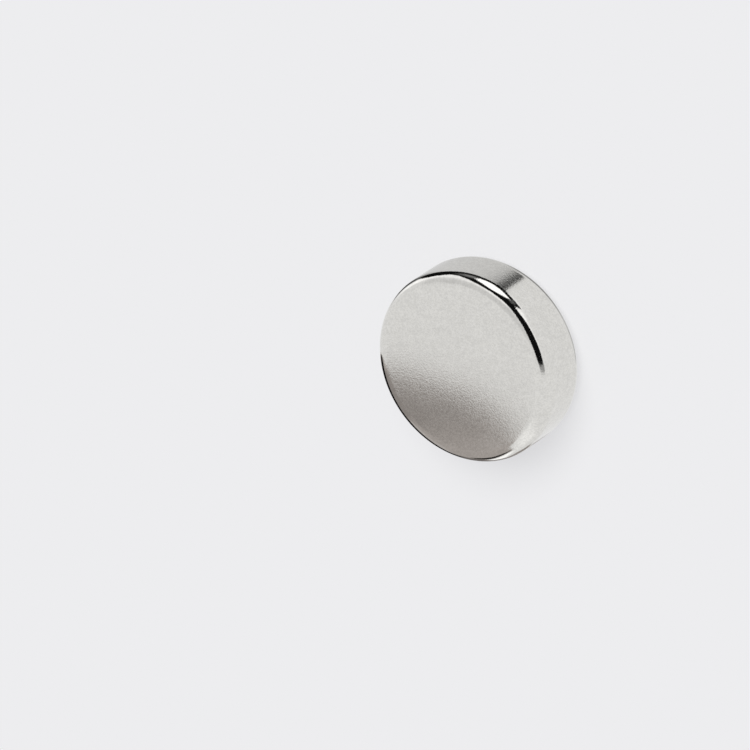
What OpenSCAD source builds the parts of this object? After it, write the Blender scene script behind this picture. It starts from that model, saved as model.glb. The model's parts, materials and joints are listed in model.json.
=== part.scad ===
// Disc magnet: one sintered disc with tumbled edges under bright nickel plating.
// It lies flat on one face. +Z runs along the disc's axis, and the origin is the
// centre of the lower face. Sizes are in millimetres, measured over the plating.

/* [Disc] */
// Diameter over the rim
disc_d = 15; // [6:0.5:60]
// Thickness from one flat face to the other
disc_t = 5; // [3:0.5:20]

/* [Edges] */
// Radius of the rounding that tumbling leaves around each face
edge_r = 1.15; // [0.1:0.05:1.4]

/* [Hidden] */

// Smoothness of the preview
$fn = 180;

// Distance from the axis to the rim
rim_r = disc_d / 2;
// Distance from the axis to where a flat face ends and its rounding begins
flat_r = rim_r - edge_r;
// Heights at which the straight rim starts and ends
rim_z = [edge_r, disc_t - edge_r];

NICKEL = [0.78, 0.77, 0.74];

// Half of the disc's section, from the axis (x = 0) out to the rim: a band between
// the two faces, a wider band for the straight rim, and a round at each outer corner.
module half_section() {
    square([flat_r, disc_t]);
    translate([0, rim_z[0]])
        square([rim_r, rim_z[1] - rim_z[0]]);
    for (z = rim_z)
        translate([flat_r, z])
            circle(r = edge_r);
}

// The whole magnet: the section turned once around the axis.
module magnet_disc() {
    color(NICKEL)
        rotate_extrude()
            half_section();
}

magnet_disc();
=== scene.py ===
"""Looks of a disc magnet: one disc with tumbled edges under bright nickel plating.

The disc lies on its lower face. It is one surface, a half section turned round the disc's
axis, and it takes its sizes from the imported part. Bright plating looks like what it
mirrors, so a light tent stands round the disc and a board beside it.
"""

import json
import math

import bpy
import numpy as np
from mathutils import Matrix, Vector

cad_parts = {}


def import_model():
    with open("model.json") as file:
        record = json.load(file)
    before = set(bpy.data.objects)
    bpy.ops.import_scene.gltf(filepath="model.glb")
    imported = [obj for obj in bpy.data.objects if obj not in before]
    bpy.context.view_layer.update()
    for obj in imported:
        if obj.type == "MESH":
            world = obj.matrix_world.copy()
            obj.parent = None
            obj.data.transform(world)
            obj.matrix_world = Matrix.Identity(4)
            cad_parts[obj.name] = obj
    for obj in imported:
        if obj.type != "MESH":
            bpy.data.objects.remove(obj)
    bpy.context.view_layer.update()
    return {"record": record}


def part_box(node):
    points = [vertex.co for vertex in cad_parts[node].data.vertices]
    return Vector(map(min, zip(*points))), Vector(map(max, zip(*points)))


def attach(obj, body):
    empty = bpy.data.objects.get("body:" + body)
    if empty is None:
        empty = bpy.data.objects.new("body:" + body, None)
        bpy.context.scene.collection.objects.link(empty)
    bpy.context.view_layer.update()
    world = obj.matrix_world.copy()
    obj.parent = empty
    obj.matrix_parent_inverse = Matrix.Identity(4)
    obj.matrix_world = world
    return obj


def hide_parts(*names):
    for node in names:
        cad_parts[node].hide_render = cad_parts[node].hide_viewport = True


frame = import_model()
MM = 0.001
Z_AXIS = Vector((0, 0, 1))


# ---------------------------------------------------------------- sizes of the disc

LOW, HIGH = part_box("magnet_disc")
RIM_R = (HIGH.x - LOW.x) / 2
THICKNESS = HIGH.z - LOW.z
RIM_MOUNT = next(mount for mount in frame["record"]["mounts"] if mount["name"] == "rim")
EDGE_R = (THICKNESS - RIM_MOUNT["dims"]["length_mm"] * MM) / 2
FLAT_R = RIM_R - EDGE_R


# ---------------------------------------------------------------- meshes

def mesh_object(name, points, faces):
    """An object at the origin whose mesh holds points (n x 3) and faces (lists of indices)."""
    mesh = bpy.data.meshes.new(name)
    mesh.from_pydata(points.tolist(), [], faces)
    mesh.validate()
    mesh.update()
    piece = bpy.data.objects.new(name, mesh)
    bpy.context.scene.collection.objects.link(piece)
    return piece


def grid_faces(rows, columns, ring=False):
    """Four-sided faces of a grid of points. In a ring, the last column joins the first."""
    here = np.arange(rows * columns).reshape(rows, columns)
    if ring:
        here = np.hstack([here, here[:, :1]])
    corners = [here[:-1, :-1], here[:-1, 1:], here[1:, 1:], here[1:, :-1]]
    return np.stack(corners, -1).reshape(-1, 4).tolist()


def turned(name, radius, height, around):
    """A closed surface of revolution about Z.

    A point of the section (radius, height), turned by the angle t, lands at
    (radius cos t, radius sin t, height). The section starts and ends on the axis, where
    one point closes the surface with a fan of triangles.
    """
    turn = np.linspace(0, 2 * math.pi, around, endpoint=False)
    ring_r, ring_z = radius[1:-1, None], height[1:-1, None]
    rings = np.stack([ring_r * np.cos(turn), ring_r * np.sin(turn),
                      ring_z + 0 * turn], -1).reshape(-1, 3)
    poles = np.array([[0, 0, height[0]], [0, 0, height[-1]]])
    rows = len(radius) - 2
    here = np.arange(around)
    after = np.roll(here, -1)
    start, end = rows * around, rows * around + 1
    last = (rows - 1) * around
    faces = grid_faces(rows, around, ring=True)
    faces += np.stack([np.full(around, start), after, here], -1).tolist()
    faces += np.stack([np.full(around, end), last + here, last + after], -1).tolist()
    piece = mesh_object(name, np.vstack([rings, poles]), faces)
    piece.data.shade_smooth()
    return piece


def disc_section(rings=10, steps=28):
    """Half of the disc's section, from the lower face's centre to the upper face's centre.

    Each face runs straight from the axis to FLAT_R, each edge is a quarter circle of
    radius EDGE_R, and the rim between them is straight. A ring close to each end of a
    quarter circle, on the flat side, keeps the shading of the flat parts flat.
    """
    guard = 0.01 * EDGE_R
    face = np.append(np.linspace(0, FLAT_R - guard, rings), FLAT_R)
    quarter = np.linspace(0, math.pi / 2, steps)
    out, up = FLAT_R + EDGE_R * np.sin(quarter), EDGE_R * (1 - np.cos(quarter))
    rim = np.array([EDGE_R + guard, THICKNESS - EDGE_R - guard])
    radius = np.concatenate([face[:-1], out, [RIM_R, RIM_R], out[::-1], face[:-1][::-1]])
    height = np.concatenate([0 * face[:-1], up, rim, THICKNESS - up[::-1],
                             0 * face[:-1] + THICKNESS])
    return radius, LOW.z + height


# ---------------------------------------------------------------- shader maths

class Value:
    """A socket of a shader tree. Arithmetic on it adds Math nodes."""

    def __init__(self, shader, socket):
        self.shader = shader
        self.socket = socket

    def math(self, operation, *others):
        """This operation of a Math node, on this value and others."""
        return self.shader.node("ShaderNodeMath", {"operation": operation},
                                dict(enumerate((self, *others))))

    def __add__(self, other):
        return self.math("ADD", other)

    def __sub__(self, other):
        return self.math("SUBTRACT", other)

    def __mul__(self, other):
        return self.math("MULTIPLY", other)

    def __rsub__(self, other):
        return self * -1 + other

    __radd__ = __add__
    __rmul__ = __mul__

    def step(self, start, end):
        """0 up to start, 1 from end on, and a smooth ramp between them."""
        settings = {"interpolation_type": "SMOOTHSTEP"}
        return self.shader.node("ShaderNodeMapRange", settings,
                                {"Value": self, "From Min": start, "From Max": end})

    def beside(self, output):
        """Another output of the node that this value comes from."""
        return Value(self.shader, self.socket.node.outputs[output])


class Shader:
    """The tree of a material or of the world, built by calls of node()."""

    def __init__(self, holder):
        holder.use_nodes = True
        self.holder = holder
        self.tree = holder.node_tree
        self.tree.nodes.clear()

    def node(self, kind, settings=None, sockets=None, out=0):
        """Adds a node of this kind. Its settings are set first, then each socket gets its
        value or link. Returns the output out."""
        made = self.tree.nodes.new(kind)
        for name, setting in (settings or {}).items():
            setattr(made, name, setting)
        for name, given in (sockets or {}).items():
            socket = made.inputs[name]
            if isinstance(given, Value):
                self.tree.links.new(given.socket, socket)
            elif isinstance(given, tuple) and socket.type == "RGBA":
                socket.default_value = (*given, 1.0)
            else:
                socket.default_value = given
        return Value(self, made.outputs[out])

    def finish(self, surface, output="ShaderNodeOutputMaterial"):
        """Shows surface as the tree's surface, and returns what holds the tree."""
        shown = self.tree.nodes.new(output)
        self.tree.links.new(surface.socket, shown.inputs["Surface"])
        return self.holder

    def noise(self, place, size, detail=2.0, roughness=0.5):
        """Noise from 0 to 1 with lumps about this size, in metres."""
        return self.node("ShaderNodeTexNoise", None,
                         {"Vector": place, "Scale": 1 / size, "Detail": detail,
                          "Roughness": roughness})

    def blend(self, share, start, end):
        """The colour start where share is 0, and end where it is 1. A Mix node's sockets
        for colours are its inputs 6 and 7 and its output 2."""
        return self.node("ShaderNodeMix", {"data_type": "RGBA"},
                         {"Factor": share, 6: start, 7: end}, out=2)


# ---------------------------------------------------------------- nickel plating

NICKEL = (0.775, 0.765, 0.73)
# The darkest and the brightest shade, as shares of NICKEL
SHADE_RANGE = (0.91, 1.09)

FACE_ROUGHNESS = 0.10
EDGE_ROUGHNESS = 0.055
RIM_ROUGHNESS = 0.11
# How close to the height of a face, and to the radius of the rim, an edge's polish ends
FACE_FADE = 0.10 * EDGE_R
RIM_FADE = 0.04 * EDGE_R

# The fine grain that tumbling leaves, the mottle over it and faint clouds: the size of
# their lumps, and how much each one changes the shade
GRAIN_SIZE, GRAIN_SHADE = 0.14 * MM, 0.8
MOTTLE_SIZE, MOTTLE_SHADE = 0.5 * MM, 0.3
CLOUD_SIZE, CLOUD_SHADE = 1.8 * MM, 0.4
# The part of the noise that is stretched to run from 0 to 1
LUMPS = (0.3, 0.7)
GRAIN_DEPTH = 0.001 * MM
# How much grain and clouds change the roughness
UNEVEN = 0.3


def nickel_plating():
    """Bright nickel over a tumbled blank: satin faces and rim with a fine grain, and
    edges that rubbing has polished."""
    made = Shader(bpy.data.materials.new("nickel_plating"))
    place = made.node("ShaderNodeTexCoord", out="Object")
    x = made.node("ShaderNodeSeparateXYZ", None, {"Vector": place})
    y, z = x.beside("Y"), x.beside("Z")
    off_axis = (x * x + y * y).math("SQRT")
    off_middle = (z - (LOW.z + THICKNESS / 2)).math("ABSOLUTE")

    grain = made.noise(place, GRAIN_SIZE, roughness=0.6).step(*LUMPS) - 0.5
    mottle = made.noise(place, MOTTLE_SIZE, roughness=0.6).step(*LUMPS) - 0.5
    cloud = made.noise(place, CLOUD_SIZE) - 0.5

    on_face = off_middle.step(THICKNESS / 2 - FACE_FADE, THICKNESS / 2)
    on_rim = off_axis.step(RIM_R - RIM_FADE, RIM_R)
    roughness = (EDGE_ROUGHNESS + on_face * (FACE_ROUGHNESS - EDGE_ROUGHNESS)
                 + on_rim * (RIM_ROUGHNESS - EDGE_ROUGHNESS))
    uneven = 1 + (grain + cloud) * UNEVEN

    brightness = 0.5 + grain * GRAIN_SHADE + mottle * MOTTLE_SHADE + cloud * CLOUD_SHADE
    dark, bright = (tuple(share * channel for channel in NICKEL) for share in SHADE_RANGE)
    shade = made.blend(brightness, dark, bright)
    bump = made.node("ShaderNodeBump", None,
                     {"Strength": 1.0, "Distance": GRAIN_DEPTH, "Height": grain})
    surface = made.node("ShaderNodeBsdfPrincipled", None,
                        {"Base Color": shade, "Metallic": 1.0,
                         "Roughness": roughness * uneven, "Normal": bump})
    return made.finish(surface)


# ---------------------------------------------------------------- stage

PALE = (0.847, 0.847, 0.863)
WHITE_TINT = (1.0, 1.0, 1.01)
WARM_TINT = (1.0, 0.92, 0.89)
# Light below the first of these is all in its dim tint, and above the second all white
TINT_ENDS = (0.4, 0.7)

# The tent and the camera are turned together round the disc's axis, so that views from the
# sides meet the tent's bright walls in the disc's upper face.
STAGE_TURN = math.radians(-65)

# The tent's own axes. It lies on its side: its top is towards TENT_UP, level with the disc,
# and its front is on the camera's side. LEVEL runs at right angles to TENT_UP, level too.
TENT_TURN = STAGE_TURN + math.radians(-43.3)
TENT_TIP = math.radians(31)
TENT_UP = Vector((math.cos(TENT_TURN), math.sin(TENT_TURN), 0))
LEVEL = Z_AXIS.cross(TENT_UP)
TENT_FRONT = Z_AXIS * math.cos(TENT_TIP) - LEVEL * math.sin(TENT_TIP)
TENT_RIGHT = TENT_UP.cross(TENT_FRONT)
TENT_R = 350 * MM

# What hangs in the tent. Each layer is how far its side fades, how bright it is, and its
# outline, in degrees: a point's distance from (0, 0) is its angle from TENT_UP, x runs to
# the camera's right and y away from the camera.
WALL_LIGHT = 0.83
TENT_LAYERS = {
    "dim_wall": (18, 0.70, [
        (-76, 10), (-68, -24), (-52, -44), (-40, -70), (-20, -84), (-8, -80), (-12, -50),
        (-36, -18), (-50, 4), (-60, 20)]),
    "back_wall": (12, 0.68, [(-28, 64), (20, 44), (28, 60), (6, 93), (-24, 98)]),
    "far_wall": (14, 0.66, [
        (-88, 98), (-66, 80), (-50, 96), (-28, 108), (-14, 118), (-30, 150), (-70, 130)]),
    "back_glow": (14, 0.95, [(-6, 106), (-10, 124), (12, 126), (10, 108)]),
    "left_glow": (8, 1.03, [
        (-68, 38), (-58, 24), (-43, 8), (-31, -16), (-24, -34), (-14, -45), (0, -40),
        (0, 20), (-40, 50)]),
    "right_glow": (6, 1.0, [
        (24, 32), (30, 34), (36, 20), (38, 4), (36, -12), (34, -26), (38, -42), (45, -58),
        (38, -60), (20, -30), (24, 0)]),
    "notch_glow": (5, 1.15, [
        (18, -22), (25, -13), (31, -12), (31, -26), (27, -38), (20, -32)]),
    "bright_wall": (10, 1.2, [
        (-68, 62), (-68, 46), (-54, 30), (-40, 30), (-40, 60), (-54, 74)]),
    "shade": (20, 0.03, [
        (-46, 64), (-51, 84), (-43, 98), (-24, 108), (-15, 106), (-23, 90), (-30, 78),
        (-30, 66)]),
    "edge_dim": (12, 0.55, [
        (40, 62), (56, 62), (70, 67), (76, 78), (70, 94), (58, 104), (44, 110), (34, 104)]),
    "edge_shade": (12, 0.3, [
        (13, 84), (16, 72), (22, 66), (32, 63), (44, 64), (52, 70), (44, 84), (30, 96),
        (14, 97)]),
    "frame_corner": (8, 0.6, [(15, 60), (18, 48), (24.5, 46), (23, 58)]),
    "frame_foot": (6, 0.36, [
        (-14, -92), (0, -101), (15, -98), (30, -93), (43, -86), (46, -78), (36, -72),
        (4, -86)]),
    "window_frame": (1.5, 0.006, [
        (-46, 62), (-50, 50), (-51, 40), (-43, 31), (-33, 29), (-29, 20), (-28, 6),
        (-26, -6), (-22, -16), (-14, -28), (-9, -34), (-4.5, -42), (-4.5, -52), (-6, -67),
        (-10, -83), (-9, -91), (-2, -95.5), (12, -93.5), (25, -88.5), (37, -81.5),
        (41, -77), (39.5, -68), (33, -54), (28.5, -44), (19, -30), (17.5, -24),
        (20, -17.5), (27, -9), (34, -3), (33.5, 6), (29.5, 15), (26, 25), (25, 42),
        (25.6, 45.2), (23.5, 46.9), (21, 47.6), (16, 49), (11, 51.5), (7, 53.5), (-1, 57),
        (-9, 59), (-18, 60), (-25, 65), (-29, 70), (-33, 76), (-39, 72)]),
    "window_haze": (24, 0.36, [
        (-19, 30), (-16, 25), (-11, 24), (-7, 29), (-8, 34), (-13, 36), (-17, 35)]),
    "right_haze": (4, 0.12, [
        (13, -16), (16, -8), (22, 0), (24, 8), (28, 6), (26, -2), (20, -12)]),
    "window": (3, 1.4, [
        (-11, 22), (-13, 10), (-11, -2), (-8, -10), (1, -11), (12, -7), (19, -1), (18, 8),
        (15, 20), (11, 27), (6, 32), (-3, 31)])}


def beyond(outline, x, y):
    """How far each point (x, y) lies outside a closed outline, and below 0 inside it.

    The distance is to the nearest side. A point is inside where a line from it towards +x
    crosses the sides an odd number of times.
    """
    start = np.array(outline, float)
    side = np.roll(start, -1, axis=0) - start
    offset = np.stack([x, y], -1)[:, None] - start
    along = np.clip((offset * side).sum(-1) / (side ** 2).sum(-1), 0, 1)
    gap = np.linalg.norm(offset - along[..., None] * side, axis=-1).min(-1)
    crossed = (offset[..., 1] < 0) != (offset[..., 1] < side[:, 1])
    slope = side[:, 0] / np.where(side[:, 1] == 0, 1, side[:, 1])
    crossed &= offset[..., 0] < offset[..., 1] * slope
    return np.where(crossed.sum(-1) % 2 == 1, -gap, gap)


def layered(layers, x, y):
    """The light at each point (x, y): WALL_LIGHT, and one layer laid over the next. Each
    fades smoothly over its side, half of the way inside the outline and half outside."""
    light = np.full(len(x), WALL_LIGHT)
    for fade, bright, outline in layers.values():
        share = np.clip(0.5 - beyond(outline, x, y) / fade, 0, 1)
        share = share * share * (3 - 2 * share)
        light += share * (bright - light)
    return light


def tent_light(away):
    """The light from the tent in each direction away from its centre (n x 3).

    A direction at the angle a from TENT_UP, and at the bearing b from TENT_FRONT round to
    TENT_RIGHT, meets the tent at (a sin b, -a cos b) of TENT_LAYERS.
    """
    up, front, right = (away @ np.array(axis) for axis in (TENT_UP, TENT_FRONT, TENT_RIGHT))
    angle = np.degrees(np.arccos(np.clip(up, -1, 1)))
    round_by = np.arctan2(right, front)
    return layered(TENT_LAYERS, angle * np.sin(round_by), -angle * np.cos(round_by))


def glowing(piece, light, dim_tint=WHITE_TINT):
    """Makes a stage piece give off light (one number a point), in dim_tint where it is dim
    and in white where it is bright. The plating shows it, and nothing else sees it."""
    given = piece.data.attributes.new("light", "FLOAT", "POINT")
    given.data.foreach_set("value", light)
    made = Shader(bpy.data.materials.new(piece.name))
    strength = made.node("ShaderNodeAttribute", {"attribute_name": "light"}, out="Fac")
    tint = made.blend(strength.step(*TINT_ENDS), dim_tint, WHITE_TINT)
    colour = made.node("ShaderNodeVectorMath", {"operation": "SCALE"},
                       {"Vector": tint, "Scale": strength})
    glow = made.finish(made.node("ShaderNodeEmission", None, {"Color": colour}))
    glow.cycles.emission_sampling = "NONE"
    piece.data.materials.append(glow)
    for ray in ("camera", "diffuse", "transmission", "volume_scatter", "shadow"):
        setattr(piece, "visible_" + ray, False)


def places(piece):
    """The piece's points, n x 3."""
    points = np.zeros(len(piece.data.vertices) * 3)
    piece.data.vertices.foreach_get("co", points)
    return points.reshape(-1, 3)


def light_tent(rows=181, around=360):
    """A sphere round the disc, a half circle of radius TENT_R turned about Z, whose cloth
    gives off tent_light()."""
    down = np.linspace(0, math.pi, rows)
    tent = turned("light_tent", TENT_R * np.sin(down), -TENT_R * np.cos(down), around)
    glowing(tent, tent_light(places(tent) / TENT_R))


# A board stands upright BOARD_GAP off the rim, across the disc from the tent's top, with a
# grey card pinned to it. It reaches below the floor, which the plating doesn't see. Its
# layers are as the tent's, in millimetres along it and up from the floor.
BOARD_GAP = 15 * MM
BOARD_ALONG = (-60, 100)
BOARD_UP = (-60, 110)
BOARD_LAYERS = {
    "sheen": (8, 0.97, [
        (3, 31), (-1, 22), (-5, 13), (-6, 7), (-14, 4), (-17, 10), (-13, 22), (-5, 32)]),
    "card": (0.8, 0.43, [
        (-5, 9), (-4, 13), (-2, 17), (0, 21), (3, 28), (8, 33), (14, 37.4), (17, 40.2),
        (21, 41.7), (27.5, 42.1), (29, 41), (32.5, 36), (36, 29), (39.5, 23), (43, 17),
        (45.5, 12), (47, 5), (47, -4), (44, -14), (40, -22), (30, -32), (10, -32),
        (3, -12), (2, 2), (-2, 7)]),
    "card_shade": (5, 0.30, [
        (18, -8), (20, 20), (21, 33), (14, 37), (16, 39), (20, 41), (28, 41.5), (30.5, 37),
        (34, 28), (38, 18), (38, 6)]),
    "light_line": (2, 0.5, [
        (9, 2), (11, 10), (15, 13.5), (20.5, 13), (20.5, 7), (18, 4), (12, 0)]),
    "soft_foot": (3, 0.18, [
        (3, 2), (7, 3), (9, 2), (11, -3), (14, -5), (15, -24), (6, -24), (3, -8)]),
    "dark_foot": (1.5, 0.01, [
        (8, -1), (13, 3), (17, 4.8), (20, 5.5), (24, 5.5), (28, 6.3), (34, 7.2), (40, 9),
        (45, 7), (47, 1), (46, -8), (40, -16), (34, -20), (26, -24), (18, -26),
        (11, -16)]),
    "card_line": (1, 0.02, [
        (-4.5, 12), (-2, 11), (0.5, 8), (3, 6.5), (5, 5.5), (5, 3.5), (3, 2), (1, 2.2),
        (-0.5, 4.2), (-2.5, 7.5)]),
    "spot_shade": (2, 0.3, [(-5, -1), (-1, -4), (2, -4), (4, -12), (-4, -12), (-8, -5)]),
    "spot": (1.2, 1.25, [
        (-4.5, 8.5), (-3, 6.5), (-1.5, 3.8), (0, 1.8), (1.5, 0.6), (1.5, -1.5), (-1, -2),
        (-3, 1.5), (-4.8, 5)])}


def board(step=0.5):
    """The board, a flat grid whose points are step millimetres apart. Point (x, y) lies
    x along LEVEL and y up from the floor, in the plane that stands BOARD_GAP off the rim
    at right angles to TENT_UP."""
    along = np.arange(*BOARD_ALONG, step)
    up = np.arange(*BOARD_UP, step)
    x, y = (grid.ravel() for grid in np.meshgrid(along, up))
    foot = -np.array(TENT_UP) * (RIM_R + BOARD_GAP) + [0, 0, LOW.z]
    points = foot + MM * (x[:, None] * np.array(LEVEL) + y[:, None] * np.array(Z_AXIS))
    piece = mesh_object("grey_board", points, grid_faces(len(up), len(along)))
    glowing(piece, layered(BOARD_LAYERS, x, y), WARM_TINT)


# The floor's cloth reflects the sky and the lamp, and its own glow makes up the rest of
# PALE, which it shows wherever no shadow falls.
FLOOR_HALF = 3.0
FLOOR_CLOTH = 0.3
SKY_LIGHT = 0.45
LAMP_LIGHT = 2.0
LAMP_SPREAD = math.radians(40)
LAMP_AT = Vector((-0.3, -0.65, 1.0)).normalized()


def floor():
    """A pale floor, a flat square, that takes the disc's soft shadow. The plating doesn't
    see it, because the tent stands in for everything round the disc."""
    corners = np.array([[-1, -1, 0], [1, -1, 0], [1, 1, 0], [-1, 1, 0]]) * FLOOR_HALF
    ground = mesh_object("floor", corners + [0, 0, LOW.z], [[0, 1, 2, 3]])
    made = Shader(bpy.data.materials.new("pale_floor"))
    cloth = made.node("ShaderNodeBsdfDiffuse", None, {"Color": (FLOOR_CLOTH,) * 3})
    lamp_share = LAMP_LIGHT * LAMP_AT.z / math.pi
    rest = tuple(pale - FLOOR_CLOTH * (SKY_LIGHT * pale + lamp_share) for pale in PALE)
    glow = made.node("ShaderNodeEmission", None, {"Color": rest})
    both = made.node("ShaderNodeAddShader", None, {0: cloth, 1: glow})
    ground.data.materials.append(made.finish(both))
    ground.visible_glossy = False


def world():
    """A pale sky. It lights things at SKY_LIGHT, and is seen at full strength."""
    made = Shader(bpy.data.worlds.new("pale_sky"))
    ray = made.node("ShaderNodeLightPath", out="Is Camera Ray")
    seen = ray.math("MAXIMUM", ray.beside("Is Glossy Ray"))
    seen = seen.math("MAXIMUM", ray.beside("Is Transmission Ray"))
    sky = made.node("ShaderNodeBackground", None,
                    {"Color": PALE, "Strength": SKY_LIGHT + seen * (1 - SKY_LIGHT)})
    bpy.context.scene.world = made.finish(sky, "ShaderNodeOutputWorld")


def lamp():
    """One large soft lamp, high up on the side where the tent's top is. The plating doesn't
    mirror it."""
    sun = bpy.data.lights.new("soft_lamp", "SUN")
    sun.energy = LAMP_LIGHT
    sun.angle = LAMP_SPREAD
    holder = bpy.data.objects.new("soft_lamp", sun)
    bpy.context.scene.collection.objects.link(holder)
    holder.rotation_euler = LAMP_AT.to_track_quat("Z", "Y").to_euler()
    holder.visible_glossy = False


# ---------------------------------------------------------------- camera

CAMERA_TILT = math.radians(39.64)
CAMERA_ROLL = math.radians(-123.89)
CAMERA_FAR = 600 * MM
# How far the upper face's centre lies to the right of the view's middle, and above it
CAMERA_SIDE, CAMERA_RISE = 6.281 * MM, 0.292 * MM
# The focal length in millimetres, on a sensor 36 mm wide
LENS = 391.7
CLIP_NEAR, CLIP_FAR = 0.01, 20.0


def camera():
    """A long lens that looks down on the upper face, CAMERA_TILT off the disc's axis."""
    turned_to = (Matrix.Rotation(STAGE_TURN, 3, "Z") @ Matrix.Rotation(CAMERA_TILT, 3, "X")
                 @ Matrix.Rotation(CAMERA_ROLL, 3, "Z"))
    right, up, back = turned_to.col
    face_centre = Vector((0, 0, HIGH.z))
    eye = face_centre - right * CAMERA_SIDE - up * CAMERA_RISE + back * CAMERA_FAR
    lens = bpy.data.cameras.new("camera")
    lens.lens = LENS
    lens.clip_start = CLIP_NEAR
    lens.clip_end = CLIP_FAR
    holder = bpy.data.objects.new("camera", lens)
    bpy.context.scene.collection.objects.link(holder)
    holder.matrix_world = Matrix.Translation(eye) @ turned_to.to_4x4()
    bpy.context.scene.camera = holder


# ---------------------------------------------------------------- the part in its stage

disc = turned("magnet_disc_plated", *disc_section(), around=512)
disc.data.materials.append(nickel_plating())
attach(disc, "root")
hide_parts("magnet_disc")

light_tent()
board()
floor()
world()
lamp()
camera()

bpy.context.scene.view_settings.view_transform = "Standard"
